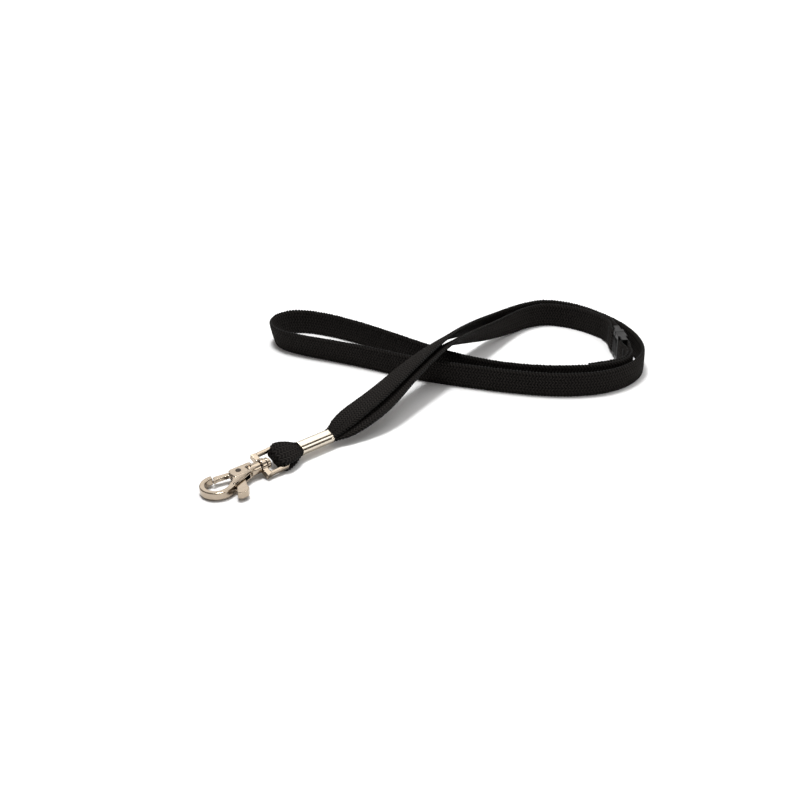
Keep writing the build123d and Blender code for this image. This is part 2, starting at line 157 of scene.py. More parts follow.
def makeLights(s):
    areaLight("keyOverhead", viewPoint(-0.12, 0.2, 1.2), viewPoint(0, 0, 0), (0.28, 0.25), s["key"])
    areaLight("cardBeyond", viewPoint(-0.1, 0.9, 0.5), viewPoint(0, 0, 0), (1.1, 0.45), s["beyond"])
    areaLight("softTop", viewPoint(0.35, 0.45, 1.3), viewPoint(0, 0, 0), (1.3, 1.2), s["top"])
    areaLight("cardRight", viewPoint(0.9, -0.5, 0.4), viewPoint(0, 0, 0), (0.4, 0.4), s["card"])
    world = bpy.data.worlds.new("studio")
    world.use_nodes = True
    tree = world.node_tree
    tree.nodes.clear()
    where = addNode(tree, "ShaderNodeTexCoord")
    height = addNode(tree, "ShaderNodeSeparateXYZ", Vector=where.outputs["Generated"])
    # bright overhead, dim at the horizon, so that the metal has something dark to mirror
    shade = addNode(tree, "ShaderNodeValToRGB", i0=height.outputs["Z"])
    stops = shade.color_ramp.elements
    stops[0].position, stops[0].color = 0.0, linear("#2A2622")
    stops[1].position, stops[1].color = 0.8, linear("#FFFFFF")
    middle = stops.new(0.45)
    middle.color = linear("#8A7F74")
    glow = addNode(tree, "ShaderNodeBackground", {"Strength": s["sky"]}, Color=shade.outputs["Color"])
    # the backdrop itself looks white
    path = addNode(tree, "ShaderNodeLightPath")
    white = addNode(tree, "ShaderNodeBackground", {"Color": linear("#FFFFFF"), "Strength": 1.0})
    seen = addNode(tree, "ShaderNodeMixShader", i0=path.outputs["Is Camera Ray"], i1=glow.outputs["Background"],
                   i2=white.outputs["Background"])
    addNode(tree, "ShaderNodeOutputWorld", Surface=seen.outputs["Shader"])
    bpy.context.scene.world = world


makeTable()
makeLights(lightSet)
bpy.context.scene.view_settings.view_transform = "Standard"
print("stage and camera ready")

# materials


# polyester webbing woven flat as a tube and dyed black: dull, with a slight sheen and a fine plait whose valleys
# carry painted shade
def makeWebbing():
    material, tree, shader = startMaterial("dyedPolyesterWebbing")
    shader.inputs["Roughness"].default_value = 0.8
    shader.inputs["Specular IOR Level"].default_value = 0.05
    shader.inputs["Sheen Weight"].default_value = 0.03
    shader.inputs["Sheen Roughness"].default_value = 0.4
    shader.inputs["Sheen Tint"].default_value = linear("#A8A098")
    # UV runs in millimetres: across the strap in V, along it in U
    uv = addNode(tree, "ShaderNodeUVMap", {"uv_map": "along"})
    parts = addNode(tree, "ShaderNodeSeparateXYZ", Vector=uv.outputs["UV"])
    # plait of 1.3 mm bars that lean to and fro every 1.25 mm across the strap, as a braid's strands do
    lean = addNode(tree, "ShaderNodeMath", {"operation": "PINGPONG", 1: 1.25}, i0=parts.outputs["Y"])
    slanted = addNode(tree, "ShaderNodeMath", {"operation": "MULTIPLY_ADD", 1: 0.8}, i0=lean.outputs[0],
                      i2=parts.outputs["X"])
    phase = addNode(tree, "ShaderNodeMath", {"operation": "MULTIPLY", 1: 2 * math.pi / 1.3}, i0=slanted.outputs[0])
    bars = addNode(tree, "ShaderNodeMath", {"operation": "SINE"}, i0=phase.outputs[0])
    # the valleys between columns, and yarns 0.25 mm wide
    valley = addNode(tree, "ShaderNodeMath", {"operation": "PINGPONG", 1: 0.625}, i0=parts.outputs["Y"])
    ridge = addNode(tree, "ShaderNodeMapRange", {1: 0.0, 2: 0.3, 3: -1.0, 4: 0.0}, Value=valley.outputs[0])
    plait = addNode(tree, "ShaderNodeMath", {"operation": "ADD"}, i0=bars.outputs[0], i1=ridge.outputs[0])
    yarn = addNode(tree, "ShaderNodeTexNoise", {"Scale": 4.0, "Detail": 3.0, "Roughness": 0.65},
                   Vector=uv.outputs["UV"])
    height = addNode(tree, "ShaderNodeMath", {"operation": "MULTIPLY_ADD", 1: 1.2}, i0=yarn.outputs["Fac"],
                     i2=plait.outputs[0])
    bump = addNode(tree, "ShaderNodeBump", {"Strength": 0.8, "Distance": 0.0002}, Height=height.outputs[0])
    tree.links.new(bump.outputs["Normal"], shader.inputs["Normal"])
    # tone follows the weave's height: painted shade in the plait's valleys, painted light on its raised yarns, and
    # random tone from yarn to yarn
    lift = addNode(tree, "ShaderNodeMapRange", {1: -1.0, 2: 2.0, 3: 0.0, 4: 1.0}, Value=height.outputs[0])
    tone = addNode(tree, "ShaderNodeMix", {"data_type": "RGBA", 6: linear("#030303"), 7: linear("#302D2B")},
                   Factor=lift.outputs[0])
    tree.links.new(tone.outputs[2], shader.inputs["Base Color"])
    return material


# nickel plate: bright and a little warm, with cloudy plating and fine handling marks
def makeNickel(name, light, dark, rough):
    material, tree, shader = startMaterial(name)
    shader.inputs["Metallic"].default_value = 1.0
    where = addNode(tree, "ShaderNodeTexCoord")
    cloud = addNode(tree, "ShaderNodeTexNoise", {"Scale": 260.0, "Detail": 2.0}, Vector=where.outputs["Object"])
    marks = addNode(tree, "ShaderNodeTexNoise", {"Scale": 900.0, "Detail": 2.0, "Roughness": 0.5},
                    Vector=where.outputs["Object"])
    tone = addNode(tree, "ShaderNodeMix", {"data_type": "RGBA", 6: linear(dark), 7: linear(light)},
                   Factor=cloud.outputs["Fac"])
    tree.links.new(tone.outputs[2], shader.inputs["Base Color"])
    gloss = addNode(tree, "ShaderNodeMapRange", {1: 0.3, 2: 0.75, 3: rough - 0.02, 4: rough + 0.04},
                    Value=marks.outputs["Fac"])
    tree.links.new(gloss.outputs[0], shader.inputs["Roughness"])
    bump = addNode(tree, "ShaderNodeBump", {"Strength": 0.02, "Distance": 0.00003}, Height=marks.outputs["Fac"])
    tree.links.new(bump.outputs["Normal"], shader.inputs["Normal"])
    return material


# black acetal, moulded with a fine spark texture: dark and softly shiny
def makeAcetal():
    material, tree, shader = startMaterial("mouldedAcetal")
    where = addNode(tree, "ShaderNodeTexCoord")
    spark = addNode(tree, "ShaderNodeTexNoise", {"Scale": 4000.0, "Detail": 2.0}, Vector=where.outputs["Object"])
    patch = addNode(tree, "ShaderNodeTexNoise", {"Scale": 260.0, "Detail": 2.0}, Vector=where.outputs["Object"])
    shader.inputs["Specular IOR Level"].default_value = 0.25
    tone = addNode(tree, "ShaderNodeMix", {"data_type": "RGBA", 6: linear("#0A0A0A"), 7: linear("#141313")},
                   Factor=patch.outputs["Fac"])
    tree.links.new(tone.outputs[2], shader.inputs["Base Color"])
    gloss = addNode(tree, "ShaderNodeMapRange", {1: 0.3, 2: 0.7, 3: 0.30, 4: 0.44}, Value=patch.outputs["Fac"])
    tree.links.new(gloss.outputs[0], shader.inputs["Roughness"])
    bump = addNode(tree, "ShaderNodeBump", {"Strength": 0.15, "Distance": 0.00004}, Height=spark.outputs["Fac"])
    tree.links.new(bump.outputs["Normal"], shader.inputs["Normal"])
    return material


# bonded polyester sewing thread: black with a faint lustre
def makeThread():
    material, tree, shader = startMaterial("bondedThread")
    shader.inputs["Roughness"].default_value = 0.6
    shader.inputs["Specular IOR Level"].default_value = 0.2
    where = addNode(tree, "ShaderNodeTexCoord")
    ply = addNode(tree, "ShaderNodeTexNoise", {"Scale": 5000.0, "Detail": 2.0}, Vector=where.outputs["Object"])
    tone = addNode(tree, "ShaderNodeMix", {"data_type": "RGBA", 6: linear("#080808"), 7: linear("#1C1B1A")},
                   Factor=ply.outputs["Fac"])
    tree.links.new(tone.outputs[2], shader.inputs["Base Color"])
    bump = addNode(tree, "ShaderNodeBump", {"Strength": 0.3, "Distance": 0.00005}, Height=ply.outputs["Fac"])
    tree.links.new(bump.outputs["Normal"], shader.inputs["Normal"])
    return material


webbingMaterial = makeWebbing()
castNickel = makeNickel("nickelPlatedCasting", "#B9AB9A", "#9C8E7C", 0.12)
# nickel plate made lighter than the casting's: painted light for the crimp, which faces the bright sky overhead
sheetNickelPaintedLight = makeNickel("nickelPlatedSheetPaintedLight", "#D6CCBC", "#C4BAAA", 0.10)
springWire = makeNickel("springWire", "#B8B6B2", "#9A9894", 0.25)
# the pin's steel is painted dark: painted shade of the hollow its head sits in
pinPaintedShade = makeNickel("pinSteelPaintedShade", "#4E463D", "#2E2924", 0.32)
acetalMaterial = makeAcetal()
threadMaterial = makeThread()
print("materials ready")


def newPiece(name, mesh, material=None):
    if material:
        mesh.materials.clear()
        mesh.materials.append(material)
    piece = bpy.data.objects.new(name, mesh)
    bpy.context.scene.collection.objects.link(piece)
    return piece


def settle(piece):
    # Turns an object's live modifiers into its plain mesh.
    bpy.context.view_layer.update()
    mesh = bpy.data.meshes.new_from_object(piece.evaluated_get(bpy.context.evaluated_depsgraph_get()))
    piece.modifiers.clear()
    piece.data = mesh
    return piece


def smoothFaces(mesh):
    mesh.polygons.foreach_set("use_smooth", [True] * len(mesh.polygons))


def place(piece, body, slot, *nodes):
    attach(piece, body)
    if nodes:
        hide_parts(*nodes)
    return piece


# webbing

webbing = {
    "thick": 1.6,
    "foldThick": 1.4,    # pressed thinner where it is turned round a bar
    "ribPitch": 1.3,
    "ribHeight": 0.05,
    "stepsPerRib": 4,
    "pleat": 0.28,       # waves across it where the crimp gathers it
}

# the clasp's line: parting line's place, heading, and the middle of the webbing's height there
clasp = {"at": (169.0, -21.3), "heading": -125.0, "middle": 6.0}


def claspPoint(u, v, z=None):
    # u runs from the parting line to the socket's strap, v out of the loop.
    h = math.radians(clasp["heading"])
    x, y = clasp["at"]
    return (x + u * math.cos(h) - v * math.sin(h), y + u * math.sin(h) + v * math.cos(h),
            clasp["middle"] if z is None else z)


# Millimetres: x, y, z of the webbing's middle, how far its right-hand edge is turned up, and its width.
longRoute = [
    (27.0, 1.62, 4.6, -24, 4.3),
    (29.2, 1.6, 4.7, -24, 4.4),
    (38.1, 3.7, 7.2, -10, 8.8),
    (55.6, 5.5, 10.6, 8, 10.0),
    (75.6, 10.3, 14.0, 20, 10.0),
    (93.6, 14.9, 15.9, 30, 10.0),
    (107.6, 18.9, 15.8, 40, 10.0),
    (122.6, 22.7, 13.2, 52, 10.0),
    (138.6, 26.7, 9.2, 68, 10.0),
    (153.6, 29.5, 6.4, 82, 10.0),
    (164.6, 30.2, 5.0, 90, 10.0),
    (173.6, 27.4, 5.0, 92, 10.0),
    (179.2, 19.6, 5.0, 94, 10.0),
    (181.6, 9.3, 5.0, 96, 10.0),
    (181.6, -2.7, 5.0, 96, 10.0),
    (179.8, -14.8, 5.0, 94, 10.0),
    (174.8, -26.8, 5.0, 92, 10.0),
    (166.0, -37.5, 5.0, 90, 10.0),
    (153.1, -41.7, 5.0, 90, 10.0),
    (140.1, -40.3, 5.0, 90, 10.0),
    (128.1, -33.3, 5.0, 90, 10.0),
    (118.1, -23.3, 5.0, 90, 10.0),
    (109.1, -10.2, 5.0, 90, 10.0),
    (101.1, 3.3, 5.0, 90, 10.0),
    (94.1, 15.3, 5.0, 90, 10.0),
    (88.4, 29.3, 5.0, 90, 10.0),
    (83.2, 44.3, 5.0, 92, 10.0),
    (77.2, 57.8, 5.0, 94, 10.0),
    (71.8, 69.3, 5.0, 98, 10.0),
    (68.2, 79.3, 5.0, 102, 10.0),
    (69.2, 88.3, 5.0, 104, 10.0),
    (76.0, 93.9, 5.0, 104, 10.0),
    (84.6, 92.9, 5.0, 102, 10.0),
    (90.6, 85.3, 5.0, 98, 10.0),
    (95.0, 74.3, 5.0, 94, 10.0),
    (98.4, 60.3, 5.0, 92, 10.0),
    (100.8, 46.3, 5.0, 90, 10.0),
    (102.8, 32.3, 5.0, 90, 10.0),
    (105.0, 18.3, 5.0, 90, 10.0),
    (109.2, 4.7, 5.0, 90, 10.0),
    (115.6, -8.1, 5.0, 90, 10.0),
    (124.2, -19.3, 5.0, 90, 10.0),
    (134.0, -28.1, 5.0, 90, 10.0),
    (142.3, -34.1, 5.0, 90, 10.0),
    (152.5, -38.2, 5.2, 90, 10.0),
    (*claspPoint(17.5, 0.75, 5.7), 90, 10.0),
    (*claspPoint(12.5, 0.75), 90, 10.0),
    (*claspPoint(9.8, 1.45), 90, 10.0),
    (*claspPoint(8.2, 1.58), 90, 10.0),
]
shortRoute = [
    (27.0, 2.2, 3.4, -24, 4.3),
    (29.2, 2.2, 3.35, -24, 4.4),
    (37.1, 0.9, 4.3, -14, 8.2),
    (53.6, 1.1, 7.6, 6, 10.0),
    (72.6, 6.9, 11.3, 20, 10.0),
    (91.6, 12.5, 13.6, 28, 10.0),
    (106.6, 16.5, 13.9, 34, 10.0),
    (120.6, 19.5, 11.2, 50, 10.0),
    (136.6, 22.7, 7.6, 68, 10.0),
    (151.6, 25.5, 5.6, 84, 10.0),
    (162.6, 26.3, 5.0, 90, 10.0),
    (171.4, 23.5, 5.0, 92, 10.0),
    (176.6, 16.0, 5.0, 94, 10.0),
    (179.3, 6.3, 5.0, 96, 10.0),
    (179.4, -3.1, 5.2, 96, 10.0),
    (*claspPoint(-16.2, 0.75, 5.7), 94, 10.0),
    (*claspPoint(-12.0, 0.75), 90, 10.0),
    (*claspPoint(-8.2, 1.5), 90, 10.0),
    (*claspPoint(-6.6, 1.58), 90, 10.0),
]


def turnRoute(bar, sense):
    # From the strap's end, round a clasp half's end bar and back along the loop's inner side.
    near, wide = bar - sense * 0.85, bar + sense * 0.4
    return [claspPoint(bar + sense * 1.4, 1.58), claspPoint(wide, 1.58), claspPoint(near, 1.5),
            claspPoint(near, -1.5), claspPoint(wide, -1.58), claspPoint(bar + sense * 3.0, -1.45)]


def smoothLine(points, steps=24):
    # Points along the NURBS curve that has these control points.
    data = bpy.data.curves.new("routeLine", "CURVE")
    data.dimensions = "3D"
    data.resolution_u = steps
    spline = data.splines.new("NURBS")
    spline.points.add(len(points) - 1)
    for point, at in zip(spline.points, points):
        point.co = (*at, 1)
    spline.order_u = 3
    spline.use_endpoint_u = True
    line = bpy.data.objects.new("routeLine", data)
    bpy.context.scene.collection.objects.link(line)
    bpy.context.view_layer.update()
    mesh = bpy.data.meshes.new_from_object(line)
    found = np.array([v.co[:] for v in mesh.vertices])
    bpy.data.meshes.remove(mesh)
    bpy.data.objects.remove(line)
    bpy.data.curves.remove(data)
    return found


def evenly(line, extra, step):
    # Resamples a line, and what goes with it, at even steps.
    lengths = np.concatenate([[0], np.cumsum(np.linalg.norm(np.diff(line, axis=0), axis=1))])
    count = max(int(round(lengths[-1] / step)), 2)
    at = np.linspace(0, lengths[-1], count + 1)
    places = np.stack([np.interp(at, lengths, line[:, k]) for k in range(3)], 1)
    others = np.stack([np.interp(at, lengths, extra[:, k]) for k in range(extra.shape[1])], 1)
    return at, places, others


def ribbonFrames(places, turns, across=None):
    # Across and outward directions at each place, for webbing turned by that many degrees.
    along = np.gradient(places, axis=0)
    along /= np.linalg.norm(along, axis=1)[:, None]
    if across is None:
        right = np.cross(along, (0, 0, 1))
        right /= np.linalg.norm(right, axis=1)[:, None]
        up = np.cross(right, along)
        turn = np.radians(turns)[:, None]
        across = right * np.cos(turn) + up * np.sin(turn)
    outward = np.cross(across, along)
    return across, outward


def webbingSection(columns=17):
    # Once round the section: place across (-1 to 1), side, and number.
    face = [-1 + 2 * k / (columns - 1) for k in range(columns)]
    ring = [(w * 0.965, 1.0) for w in face] + [(1.0, 0.0)]
    ring += [(-w * 0.965, -1.0) for w in face] + [(-1.0, 0.0)]
    return ring


def makeRibbon(name, at, places, turns, widths, thicks, across=None, pleat=None):
    # Woven webbing along the places: ribs across it, soft edges, UV in millimetres.
    across, outward = ribbonFrames(places, turns, across)
    section = webbingSection()
    count = len(section)
    total = len(at)
    beat = 2 * np.pi * at / webbing["ribPitch"]
    gather = np.clip((9.0 - widths) / 4.5, 0, 1) * (webbing["pleat"] if pleat is None else pleat)
    rows = []
    for number, (w, n) in enumerate(section):
        rib = webbing["ribHeight"] * np.cos(beat + math.pi * (number % 2))
        if n == 0:
            reach = np.sign(w) * (widths / 2 + 1.4 * webbing["ribHeight"] * np.cos(beat))
            lift = np.zeros_like(at)
        else:
            reach = w * widths / 2
            lift = n * (thicks / 2 * (1 - 0.34 * abs(w) ** 6) + rib)
        lift = lift + gather * math.cos(w * math.pi * 2.2)
        rows.append(places + across * reach[:, None] + outward * lift[:, None])
    grid = np.stack(rows, 1) * mm
    faces = []
    for i in range(total - 1):
        for j in range(count):
            a, b = i * count + j, i * count + (j + 1) % count
            faces.append((a, b, b + count, a + count))
    faces.append(tuple(reversed(range(count))))
    faces.append(tuple(range((total - 1) * count, total * count)))
    mesh = bpy.data.meshes.new(name)
    mesh.from_pydata(grid.reshape(-1, 3).tolist(), [], faces)
    girth = [5 + w * 5 if n >= 0 else 16 - w * 5 for w, n in section]
    girth[-1] = 21.2
    uv = mesh.uv_layers.new(name="along")
    for polygon in mesh.polygons:
        corners = [mesh.loops[k].vertex_index for k in polygon.loop_indices]
        wraps = any(v % count == count - 1 for v in corners)
        for loop, v in zip(polygon.loop_indices, corners):
            side = 21.4 if wraps and v % count == 0 else girth[v % count]
            uv.data[loop].uv = (at[v // count], side)
    smoothFaces(mesh)
    work = bmesh.new()
    work.from_mesh(mesh)
    bmesh.ops.recalc_face_normals(work, faces=work.faces)
    work.to_mesh(mesh)
    work.free()
    return newPiece(name, mesh, webbingMaterial), across, outward


def routeRibbon(name, route, thick):
    # Ribbon on a route's NURBS line; turn and width follow a spline of the same kind.
    line = smoothLine([p[:3] for p in route])
    extra = smoothLine([(p[3] / 10, p[4], thick) for p in route])
    at, places, others = evenly(line, extra, webbing["ribPitch"] / webbing["stepsPerRib"])
    piece, across, outward = makeRibbon(name, at, places, others[:, 0] * 10, others[:, 1], others[:, 2])
    return piece, places, across, outward, others[:, 1]


strapLong, longPlaces, longAcross, longOut, longWidths = routeRibbon("strapLong", longRoute, webbing["thick"])
strapShort, shortPlaces, shortAcross, shortOut, shortWidths = routeRibbon("strapShort", shortRoute, webbing["thick"])

# the sewn ends: round the clasp's end bars and back on the inside of the loop
socketTail = [claspPoint(12.5, -0.75), claspPoint(17.5, -0.8, 5.7), (152.7, -36.5, 5.2), (143.4, -32.3, 5.0),
              (139.3, -30.2, 5.0)]
plugTail = [claspPoint(-12.0, -0.8), claspPoint(-16.2, -0.8, 5.7), (178.2, -4.4, 5.2)]
foldSocket, socketPlaces, socketAcross, socketOut, socketWidths = routeRibbon(
    "foldSocket", [(*p, 90, 10.0) for p in turnRoute(6.8, 1) + socketTail], webbing["foldThick"])
foldPlug, plugPlaces, plugAcross, plugOut, plugWidths = routeRibbon(
    "foldPlug", [(*p, 90, 10.0) for p in turnRoute(-5.1, -1) + plugTail], webbing["foldThick"])
print("webbing laid")

# webbing round the ring's bar, and the crimp that holds it

fittings = {
    "axis": (0.0, 1.9, 4.0),   # the fittings' line, along +X from here
    "roll": 24.0,
    "barX": 5.0,
    "crimpStart": 14.1,
    "crimpLength": 15.0,
    "crimpWidth": 5.4,
    "crimpThick": 3.6,
    "wall": 0.45,
    "corner": 1.35,
    "droop": 4.4,        # degrees that the ring and hook lean down from the crimp's line
    "ringReach": 9.4,    # from the bar to the hook's end
}
rollAngle = math.radians(fittings["roll"])
sideWay = np.array((0, math.cos(rollAngle), math.sin(rollAngle)))
normalWay = np.array((0, -math.sin(rollAngle), math.cos(rollAngle)))


def rolled(x, across, out):
    # A point in the fittings' rolled frame.
    return np.array(fittings["axis"]) + np.array((x, 0, 0)) + sideWay * across + normalWay * out


def makeRingLoop(s):
    bar = s["barX"]
    # x, height off the axis, width, thickness: in from the crimp, round the bar and out again
    half = [
        (24.0, 0.62, 4.3, 1.2),
        (14.6, 0.66, 4.4, 1.25),
        (12.6, 0.95, 5.8, 1.35),
        (10.6, 1.45, 8.2, 1.4),
        (bar + 2.6, 1.95, 10.0, 1.4),
        (bar - 0.2, 1.95, 11.0, 1.4),
        (bar - 2.2, 1.55, 7.4, 1.35),
    ]
    back = [(x, -out, width, thick) for x, out, width, thick in reversed(half)]
    stations = half + back
    line = smoothLine([tuple(rolled(x, 0, out)) for x, out, width, thick in stations])
    extra = smoothLine([(width, thick, 0) for x, out, width, thick in stations])
    at, places, others = evenly(line, extra, webbing["ribPitch"] / webbing["stepsPerRib"])
    piece, across, outward = makeRibbon("ringLoop", at, places, None, others[:, 0], others[:, 1],
                                        across=np.tile(sideWay, (len(at), 1)), pleat=0.26)
    return piece, places, across, others[:, 0]


ringLoop, loopPlaces, loopAcross, loopWidths = makeRingLoop(fittings)
place(ringLoop, "root", "webbing", "strap_ring_loop")


def makeCrimp(s):
    # A strip rolled round the webbing, its two edges turned in at the seam, its mouths flared.
    w, t, r = s["crimpWidth"] / 2, s["crimpThick"] / 2, s["corner"]
    outline = []
    corners = ((w - r, t - r, 0), (-w + r, t - r, 90), (-w + r, -t + r, 180), (w - r, -t + r, 270))
    for cx, cy, start in corners:
        for k in range(9):
            a = math.radians(start + 90 * k / 8)
            outline.append(np.array((cx + r * math.cos(a), cy + r * math.sin(a))))
    outline = np.array(outline + outline[:1])
    run = np.concatenate([[0], np.cumsum(np.linalg.norm(np.diff(outline, axis=0), axis=1))])
    # the seam lies on the upper face, near the edge that is turned down
    seam = run[8] + (w - r) * 0.5
    lip, plain = 0.17, 0.35    # from the seam's middle to the strip's edge, and to where it is no longer turned in
    steps = np.concatenate([[seam + lip], np.linspace(seam + plain, seam + run[-1] - plain, 76),
                            [seam + run[-1] - lip]])
    loop = np.stack([np.interp(steps % run[-1], run, outline[:, k]) for k in range(2)], 1)
    heading = np.gradient(loop, axis=0)
    inward = np.stack([-heading[:, 1], heading[:, 0]], 1)
    inward /= np.linalg.norm(inward, axis=1)[:, None]
    sink = np.zeros(len(loop))
    sink[[0, -1]] = 0.2
    x0, length = s["crimpStart"], s["crimpLength"]
    # distance from the mouth, flare, and how far the skin has turned in
    mouth = [(0.0, 0.10, 0.22), (0.05, 0.10, 0.10), (0.16, 0.10, 0.02), (0.45, 0.07, 0.0), (1.0, 0.01, 0.0),
             (1.4, 0.0, 0.0)]
    stations = [(x0 + d, flare, turn) for d, flare, turn in mouth]
    stations += [(x0 + length / 2, 0.0, 0.0)]
    stations += [(x0 + length - d, flare, turn) for d, flare, turn in reversed(mouth)]
    count = len(loop)
    verts, faces = [], []
    for wallSide in (0, 1):
        for x, flare, turn in stations:
            depth = (s["wall"] - turn if wallSide else turn) - flare + sink * (1 - wallSide)
            for at, way in zip(loop, inward):
                p = at + way * depth[len(verts) % count]
                verts.append(tuple(rolled(x, -p[0], p[1]) * mm))
    rows = len(stations)
    base = rows * count
    for i in range(rows - 1):
        for j in range(count - 1):
            a = i * count + j
            faces.append((a, a + 1, a + count + 1, a + count))
            faces.append((base + a, base + a + count, base + a + count + 1, base + a + 1))
        for j in (0, count - 1):
            a = i * count + j
            faces.append((a, base + a, base + a + count, a + count))
    for i in (0, rows - 1):
        for j in range(count - 1):
            a = i * count + j
            faces.append((a, a + 1, base + a + 1, base + a))
    mesh = bpy.data.meshes.new("crimpSleeve")
    mesh.from_pydata(verts, [], faces)
    work = bmesh.new()
    work.from_mesh(mesh)
    bmesh.ops.recalc_face_normals(work, faces=work.faces)
    work.to_mesh(mesh)
    work.free()
    smoothFaces(mesh)
    return newPiece("crimpSleeve", mesh, sheetNickelPaintedLight)


place(makeCrimp(fittings), "root", "crimp_sheet", "ferrule_crimp")
print("ring loop and crimp made")

# die-cast fittings, barrel-polished: every edge is rounded over

droopAngle = math.radians(fittings["droop"])
ringAxis = np.array((1, 0, 0)) * math.cos(droopAngle) + normalWay * math.sin(droopAngle)
ringUp = normalWay * math.cos(droopAngle) - np.array((1, 0, 0)) * math.sin(droopAngle)
barMiddle = rolled(fittings["barX"], 0, 0)
hookEnd = barMiddle - ringAxis * fittings["ringReach"]
hookUp = np.array((0, 0, 1)) - ringAxis * ringAxis[2]
hookUp /= np.linalg.norm(hookUp)
# each frame: origin, then its x, y and z
ringFrame = (barMiddle, ringAxis, sideWay, ringUp)
hookFrame = (hookEnd, -ringAxis, np.cross(hookUp, -ringAxis), hookUp)
collarFrame = (barMiddle, ringUp, sideWay, ringAxis)


def inFrame(frameOf, x, y, z):
    origin, a, b, c = frameOf
    return Vector((origin + a * x + b * y + c * z) * mm)


def addPrism(work, frameOf, outline, low, high):
    # Adds a closed prism to a bmesh: an outline in the frame's x and y, from low to high in its z.
    under = [work.verts.new(inFrame(frameOf, x, y, low)) for x, y in outline]
    over = [work.verts.new(inFrame(frameOf, x, y, high)) for x, y in outline]
    work.faces.new(over)
    work.faces.new(list(reversed(under)))
    for i in range(len(outline)):
        j = (i + 1) % len(outline)
        work.faces.new((under[i], under[j], over[j], over[i]))


def disc(radius, x=0.0, y=0.0, steps=28):
    turns = [2 * math.pi * k / steps for k in range(steps)]
    return [(x + radius * math.cos(a), y + radius * math.sin(a)) for a in turns]


def tumbled(name, node, grain, rounds, material, prisms=(), cuts=()):
    # A CAD node with its edges worn round, as a casting leaves the polishing barrel, and what is cast on.
    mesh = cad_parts[node].data.copy()
    work = bmesh.new()
    work.from_mesh(mesh)
    bmesh.ops.remove_doubles(work, verts=work.verts, dist=2e-6)
    for frameOf, outline, low, high in prisms:
        addPrism(work, frameOf, outline, low, high)
    bmesh.ops.recalc_face_normals(work, faces=work.faces)
    work.to_mesh(mesh)
    work.free()
    piece = newPiece(name, mesh, material)
    remesh = piece.modifiers.new("grain", "REMESH")
    remesh.mode = "VOXEL"
    remesh.voxel_size = grain * mm
    remesh.use_smooth_shade = True
    tools = []
    for frameOf, outline, low, high in cuts:
        tool = bpy.data.meshes.new("cutter")
        work = bmesh.new()
        addPrism(work, frameOf, outline, low, high)
        bmesh.ops.recalc_face_normals(work, faces=work.faces)
        work.to_mesh(tool)
        work.free()
        tools.append(newPiece("cutter", tool))
        cut = piece.modifiers.new("cut", "BOOLEAN")
        cut.operation = "DIFFERENCE"
        cut.object = tools[-1]
    smooth = piece.modifiers.new("wear", "SMOOTH")
    smooth.factor = 0.5
    smooth.iterations = rounds
    settle(piece)
    smoothFaces(piece.data)
    for tool in tools:
        bpy.data.objects.remove(tool)
    piece.data.materials.clear()
    piece.data.materials.append(material)
    return piece


# hook: cheek plates out to the far edge, and the ridge that runs from the barrel to the claw
cheek = [(1.7, -2.9), (2.2, -3.4), (9.8, -3.95), (10.5, -3.7), (11.5, -1.3), (11.2, 1.4), (4.0, 1.6), (1.9, 1.2)]
shoulder = [(1.7, -2.9), (2.2, -3.4), (5.2, -3.6), (5.2, 1.6), (1.9, 1.2)]
ridge = [(2.4, 0.5), (6.0, 1.5), (11.0, 3.0), (14.2, 4.6), (13.9, 5.3), (10.5, 3.9), (6.0, 2.5), (2.4, 1.8)]
window = [(3.0, 1.3), (4.7, 1.3), (4.7, 4.0), (3.0, 4.0)]
place(tumbled("hookCasting", "hook_body", 0.10, 18, castNickel,
              [(hookFrame, cheek, 0.85, 1.65), (hookFrame, cheek, -1.65, -0.85),
               (hookFrame, shoulder, -1.65, 1.65), (hookFrame, ridge, 1.2, 2.0)],
              [(hookFrame, window, -0.75, 0.75)]), "hook", "fittings", "hook_body")
# ring: its collar stands on the inside of the base, with the rivet's head on it
ringBase = [(-9.3, -5.6), (-7.3, -5.2), (-7.3, 5.2), (-9.3, 5.6)]
place(tumbled("ringCasting", "swivel_ring", 0.10, 5, castNickel,
              [(collarFrame, disc(2.6), -8.8, -6.9), (ringFrame, ringBase, -1.2, 1.2)]),
      "ring", "fittings", "swivel_ring")
place(tumbled("triggerCasting", "trigger", 0.09, 8, castNickel), "trigger", "fittings", "trigger")
place(tumbled("rivetHead", "swivel_rivet", 0.09, 4, castNickel,
              [(collarFrame, disc(2.2), -6.45, -5.3), (collarFrame, disc(1.5), -5.4, -4.6)]),
      "hook", "fittings", "swivel_rivet")
# the pin's head carries painted shade of its recess
place(tumbled("pinHead", "trigger_pin", 0.07, 4, pinPaintedShade), "hook", "fittings", "trigger_pin")
print("fittings tumbled")

# clasp

place(tumbled("claspSocket", "clasp_socket", 0.12, 3, acetalMaterial),
      "root", "clasp_plastic", "clasp_socket")
place(tumbled("claspPlug", "clasp_plug", 0.12, 3, acetalMaterial),
      "plug", "clasp_plastic", "clasp_plug")
print("clasp made")


# yarn loops on the selvedges, bar tacks and grip ribs, all grown along lines


def lineObject(name, lines):
    # One object whose mesh is these lines of points, in millimetres.
    verts, edges = [], []
    for line in lines:
        first = len(verts)
        verts += [tuple(np.array(p) * mm) for p in line]
        edges += [(first + k, first + k + 1) for k in range(len(line) - 1)]
    mesh = bpy.data.meshes.new(name)
    mesh.from_pydata(verts, edges, [])
    return newPiece(name, mesh)


def startTree(name, inputs):
    tree = bpy.data.node_groups.new(name, "GeometryNodeTree")
    tree.interface.new_socket("Geometry", in_out="INPUT", socket_type="NodeSocketGeometry")
    for label, kind in inputs:
        tree.interface.new_socket(label, in_out="INPUT", socket_type=kind)
    tree.interface.new_socket("Geometry", in_out="OUTPUT", socket_type="NodeSocketGeometry")
    return tree, tree.nodes.new("NodeGroupInput")


